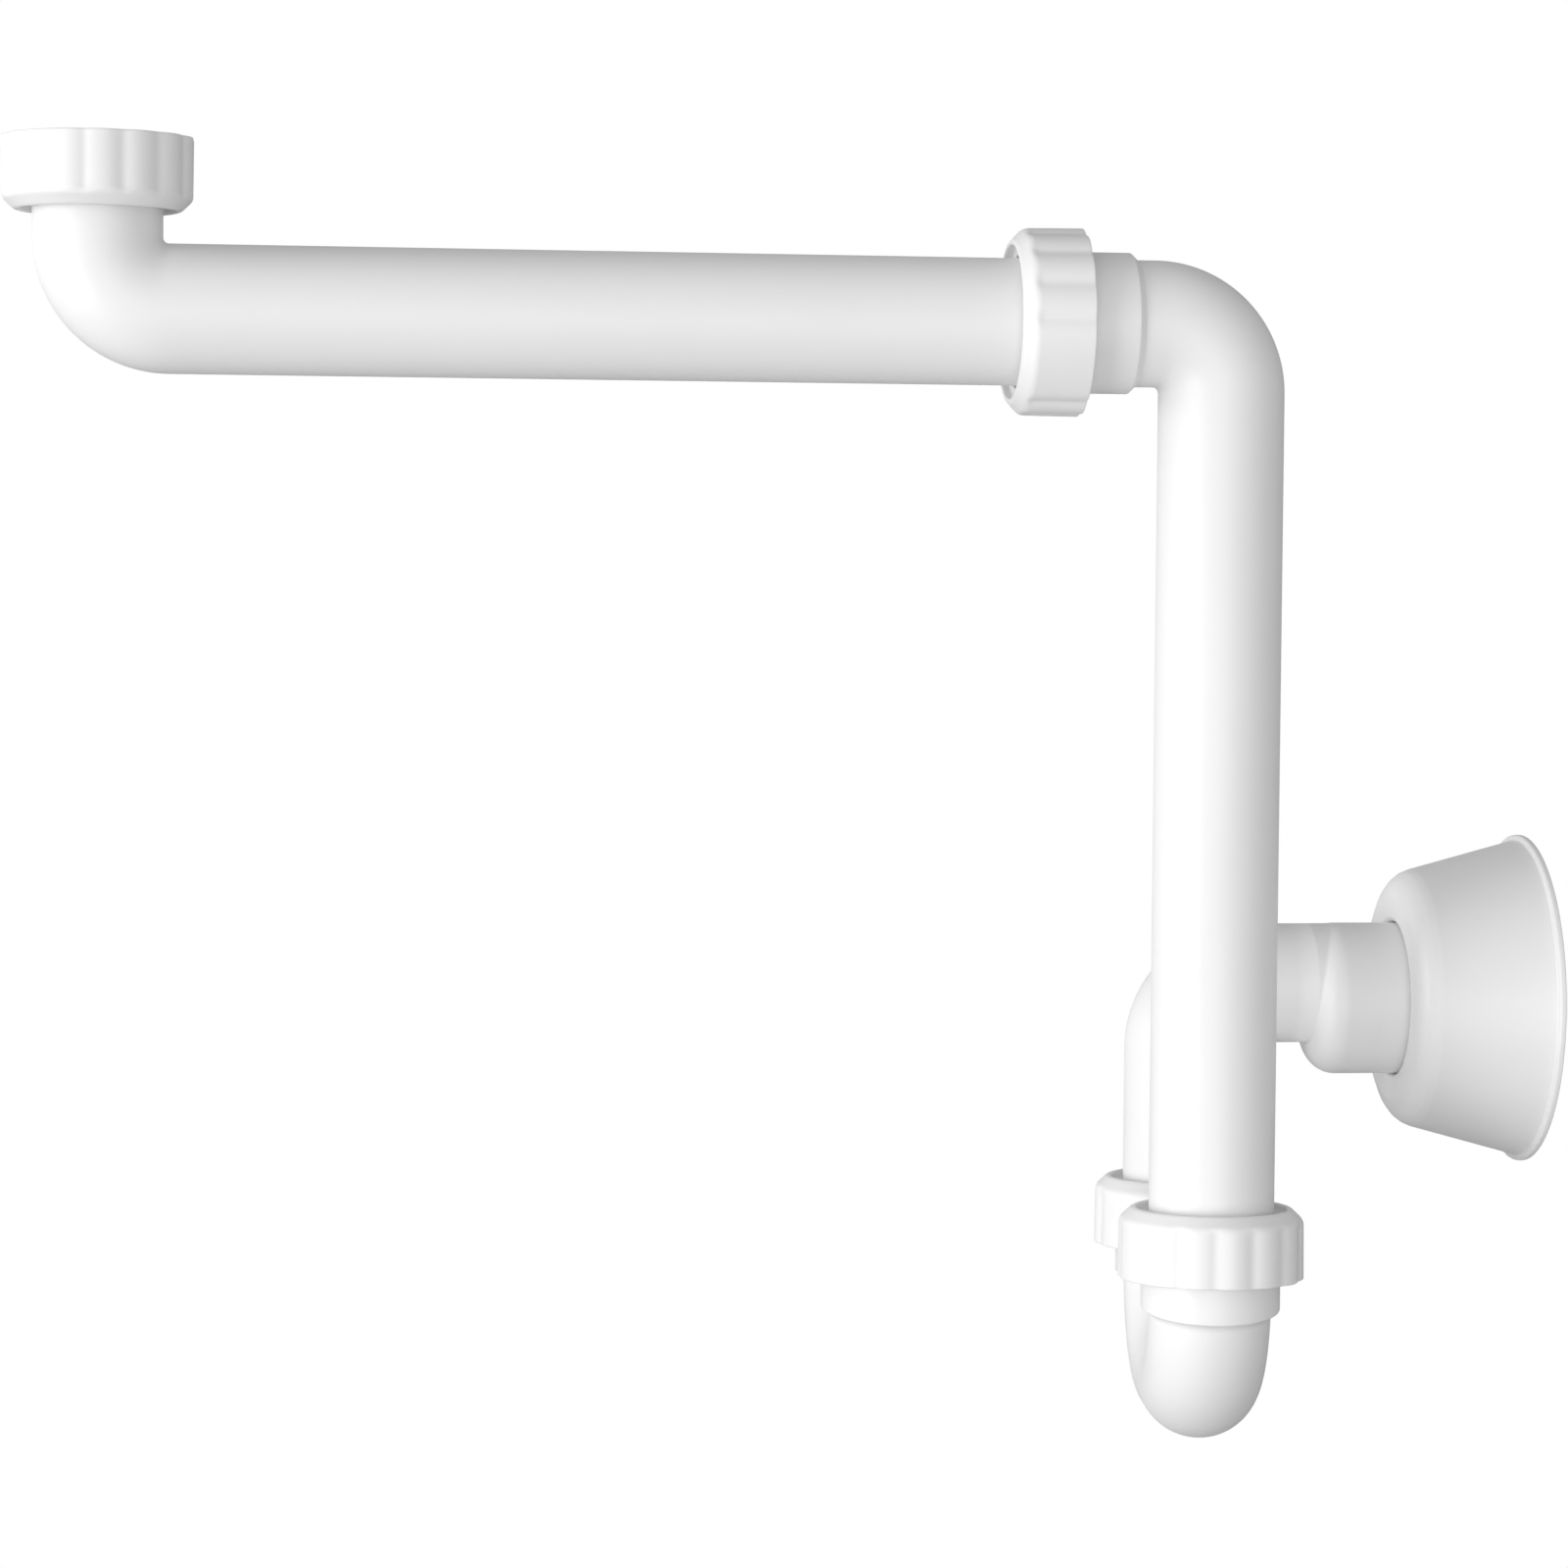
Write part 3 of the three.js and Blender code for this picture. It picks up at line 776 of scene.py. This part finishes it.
# Each nut's first finger valley, as an angle from the piece's side direction round its own axis.
NUTS = [
    ("inlet_nut", "inlet_nut_body", INLET_RIM, DOWN, RIGHT, math.radians(-22.6)),
    ("arm_nut", "arm_nut_body", ARM_RIM, LEFT, DOWN, math.radians(88.4)),
    ("trap_inlet_nut", "trap_nut", TRAP_INLET_RIM, UP, RIGHT, math.radians(-123)),
    ("trap_outlet_nut", "outlet_nut", TRAP_OUTLET_RIM, UP, RIGHT, math.radians(69.8)),
]
for node, body, rim, direction, side, first_edge in NUTS:
    piece = build_nut(node + "_detail", rim, direction, side, first_edge)
    finished(piece, node, body, NUT_WHITE)

RINGS = [
    ("arm", "arm_ring_body", "arm_seal_body", ARM_RIM, LEFT),
    ("trap_inlet", "inlet_ring", "inlet_seal", TRAP_INLET_RIM, UP),
    ("trap_outlet", "outlet_ring", "outlet_seal", TRAP_OUTLET_RIM, UP),
]
for joint, ring_body, seal_body, rim, direction in RINGS:
    ring = build_ring(joint + "_thrust_ring_detail", rim, direction, THRUST_RING)
    finished(ring, joint + "_thrust_ring", ring_body, RING_WHITE)
    seal = build_ring(joint + "_seal_detail", rim, direction, SEAL)
    finished(seal, joint + "_seal", seal_body, SEAL_GREY)
washer = build_ring("inlet_washer_detail", INLET_RIM, DOWN, WASHER)
finished(washer, "inlet_washer", "arm", SEAL_GREY)

# Stage, light and camera, in metres, watts and degrees.

FLOOR_DROP = 2.2
FLOOR_SIZE = 40.0
FLOOR_GREY = 0.6
FLOOR_ROUGHNESS = 0.9
WHITE = (1, 1, 1, 1)

# The studio's light from all round: towards its bright side and away from it, and with height.
STUDIO_BRIGHT_SIDE = Vector((-0.85, -0.45, -0.38))
STUDIO_DIM = 0.37
STUDIO_BRIGHT = 1.15
STUDIO_ABOVE = 0.14
STUDIO_BELOW = 0.68

# Each soft box: its place from the object's middle, its width and height, and its power.
SOFTBOXES = [
    ("front", (0, -1.85, -0.35), (1.2, 1.3), 7.5),
    ("side", (-2.65, -1.7, -0.6), (1.5, 2.0), 42),
    ("edge", (-3.3, -0.1, 0.3), (0.9, 2.0), 20),
]

CAMERA_PLACE = (-0.4364, -1.4981, 0.1353)
CAMERA_YAW = 7.157
CAMERA_PITCH = 2.454
CAMERA_ROLL = 0.475
CAMERA_LENS = 106.2
CAMERA_SENSOR = 36


def white_for_camera(nodes, links, lit, seen):
    """Mixes what lights the object with plain white for the camera's own rays."""
    rays = nodes.new("ShaderNodeLightPath")
    choose = nodes.new("ShaderNodeMixShader")
    links.new(rays.outputs["Is Camera Ray"], choose.inputs["Fac"])
    links.new(lit, choose.inputs[1])
    links.new(seen, choose.inputs[2])
    return choose.outputs["Shader"]


def build_floor():
    """A wide pale floor, which the camera sees as white."""
    mesh = bpy.data.meshes.new("floor")
    half = FLOOR_SIZE / 2
    low = CAD_BOX[0][2] - FLOOR_DROP
    corners = [(-half, -half, low), (half, -half, low), (half, half, low), (-half, half, low)]
    mesh.from_pydata(corners, [], [(0, 1, 2, 3)])
    floor = bpy.data.objects.new("floor", mesh)
    bpy.context.scene.collection.objects.link(floor)
    material = bpy.data.materials.new("pale floor")
    material.use_nodes = True
    nodes, links = material.node_tree.nodes, material.node_tree.links
    shader = nodes["Principled BSDF"]
    shader.inputs["Base Color"].default_value = (FLOOR_GREY, FLOOR_GREY, FLOOR_GREY, 1)
    shader.inputs["Roughness"].default_value = FLOOR_ROUGHNESS
    glow = nodes.new("ShaderNodeEmission")
    glow.inputs["Color"].default_value = WHITE
    glow.inputs["Strength"].default_value = 1.0
    shown = white_for_camera(nodes, links, shader.outputs["BSDF"], glow.outputs["Emission"])
    links.new(shown, nodes["Material Output"].inputs["Surface"])
    mesh.materials.append(material)


def build_world():
    """A white studio, bright round the horizon at the front left, dim overhead and softer below."""
    world = bpy.data.worlds.new("studio")
    world.use_nodes = True
    bpy.context.scene.world = world
    nodes, links = world.node_tree.nodes, world.node_tree.links
    where = nodes.new("ShaderNodeTexCoord")
    facing = nodes.new("ShaderNodeVectorMath")
    facing.operation = "DOT_PRODUCT"
    facing.inputs[1].default_value = STUDIO_BRIGHT_SIDE.normalized()
    links.new(where.outputs["Generated"], facing.inputs[0])
    sideways = map_range(nodes, (-1, 1), (STUDIO_DIM, STUDIO_BRIGHT))
    links.new(facing.outputs["Value"], sideways.inputs["Value"])
    axes = nodes.new("ShaderNodeSeparateXYZ")
    links.new(where.outputs["Generated"], axes.inputs["Vector"])
    upright = nodes.new("ShaderNodeFloatCurve")
    height = map_range(nodes, (-1, 1), (0, 1))
    links.new(axes.outputs["Z"], height.inputs["Value"])
    links.new(height.outputs["Result"], upright.inputs["Value"])
    curve = upright.mapping.curves[0]
    curve.points[0].location = (0.0, STUDIO_BELOW)
    curve.points[1].location = (1.0, STUDIO_ABOVE)
    curve.points.new(0.5, 1.0)
    upright.mapping.update()
    level = nodes.new("ShaderNodeMath")
    level.operation = "MULTIPLY"
    links.new(sideways.outputs["Result"], level.inputs[0])
    links.new(upright.outputs["Value"], level.inputs[1])
    lit = nodes["Background"]
    lit.inputs["Color"].default_value = WHITE
    links.new(level.outputs["Value"], lit.inputs["Strength"])
    seen = nodes.new("ShaderNodeBackground")
    seen.inputs["Color"].default_value = WHITE
    shown = white_for_camera(nodes, links, lit.outputs["Background"], seen.outputs["Background"])
    links.new(shown, nodes["World Output"].inputs["Surface"])


def softbox(name, aim, offset, size, watts):
    """A rectangle of light that faces what it is aimed at."""
    light = bpy.data.lights.new(name, "AREA")
    light.shape = "RECTANGLE"
    light.size, light.size_y = size
    light.energy = watts
    lamp = bpy.data.objects.new(name, light)
    lamp.location = aim + Vector(offset)
    lamp.rotation_euler = (-Vector(offset)).to_track_quat("-Z", "Y").to_euler()
    bpy.context.scene.collection.objects.link(lamp)


def build_camera():
    """The camera at the photograph's viewing angle."""
    camera = bpy.data.cameras.new("camera")
    camera.sensor_width = CAMERA_SENSOR
    camera.lens = CAMERA_LENS
    holder = bpy.data.objects.new("camera", camera)
    heading = Matrix.Rotation(math.radians(-CAMERA_YAW), 4, "Z")
    tilt = Matrix.Rotation(math.radians(90 - CAMERA_PITCH), 4, "X")
    roll = Matrix.Rotation(math.radians(CAMERA_ROLL), 4, "Z")
    holder.matrix_world = Matrix.Translation(CAMERA_PLACE) @ heading @ tilt @ roll
    bpy.context.scene.collection.objects.link(holder)
    bpy.context.scene.camera = holder


bpy.context.scene.view_settings.view_transform = "Standard"
build_floor()
build_world()
middle = (Vector(CAD_BOX[0]) + Vector(CAD_BOX[1])) / 2
for name, offset, size, watts in SOFTBOXES:
    softbox(name, middle, offset, size, watts)
build_camera()
